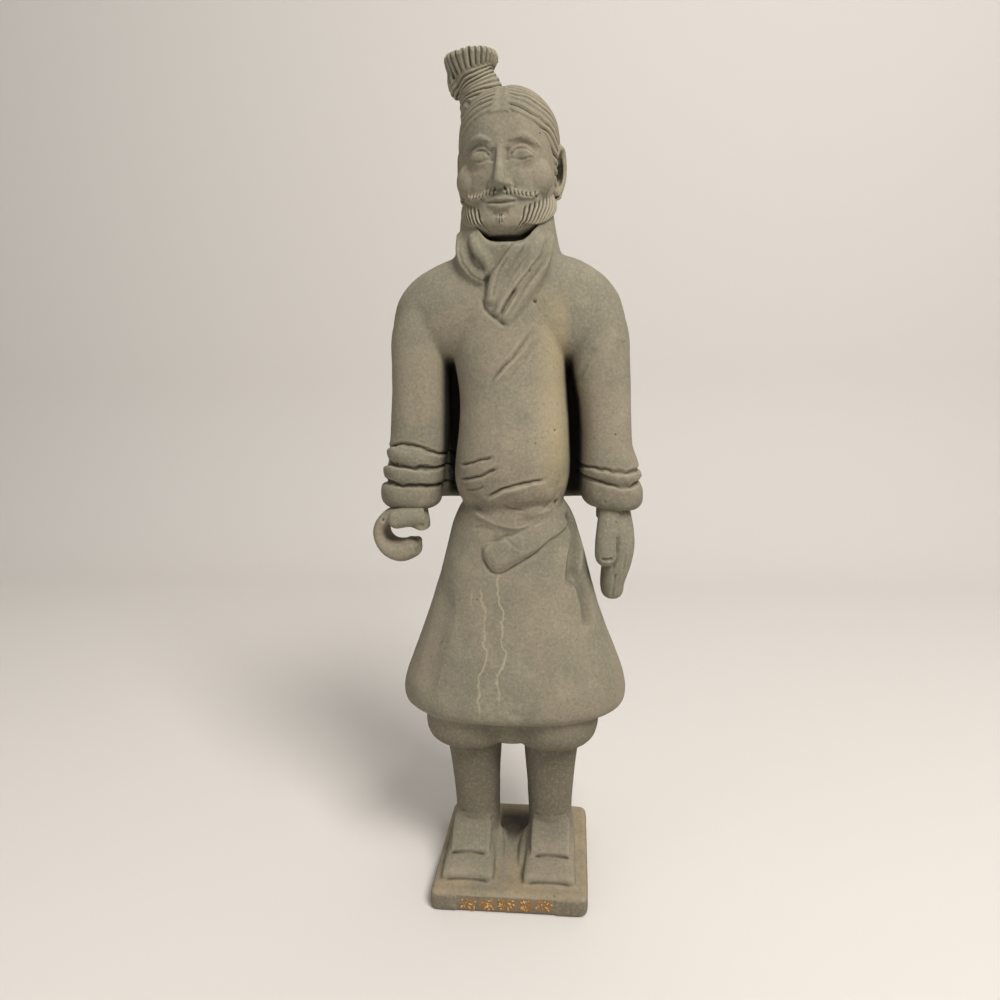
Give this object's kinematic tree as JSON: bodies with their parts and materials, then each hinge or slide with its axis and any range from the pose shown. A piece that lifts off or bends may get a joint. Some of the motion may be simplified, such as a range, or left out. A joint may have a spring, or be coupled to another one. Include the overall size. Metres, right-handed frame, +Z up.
{
  "type": "terracotta warrior statue",
  "caption": "Small unglazed clay figure of a standing warrior in a belted robe, one hand curled to grip, on a low square plinth.",
  "frame": {"origin": "centre of the plinth's underside", "axes": "+Z up, the figure faces -Y, +X on the viewer's right"},
  "size_m": [0.0804, 0.05, 0.2491],
  "materials": {
    "robe_clay": "unglazed, matte, grey with an olive cast",
    "head_clay": "unglazed, matte, grey with an olive cast",
    "hand_clay": "unglazed, matte, darker grey"
  },
  "bodies": {
    "root": {"body": "robe_clay", "head": "head_clay", "right_hand": "hand_clay", "left_hand": "hand_clay"}
  },
  "joints": []
}
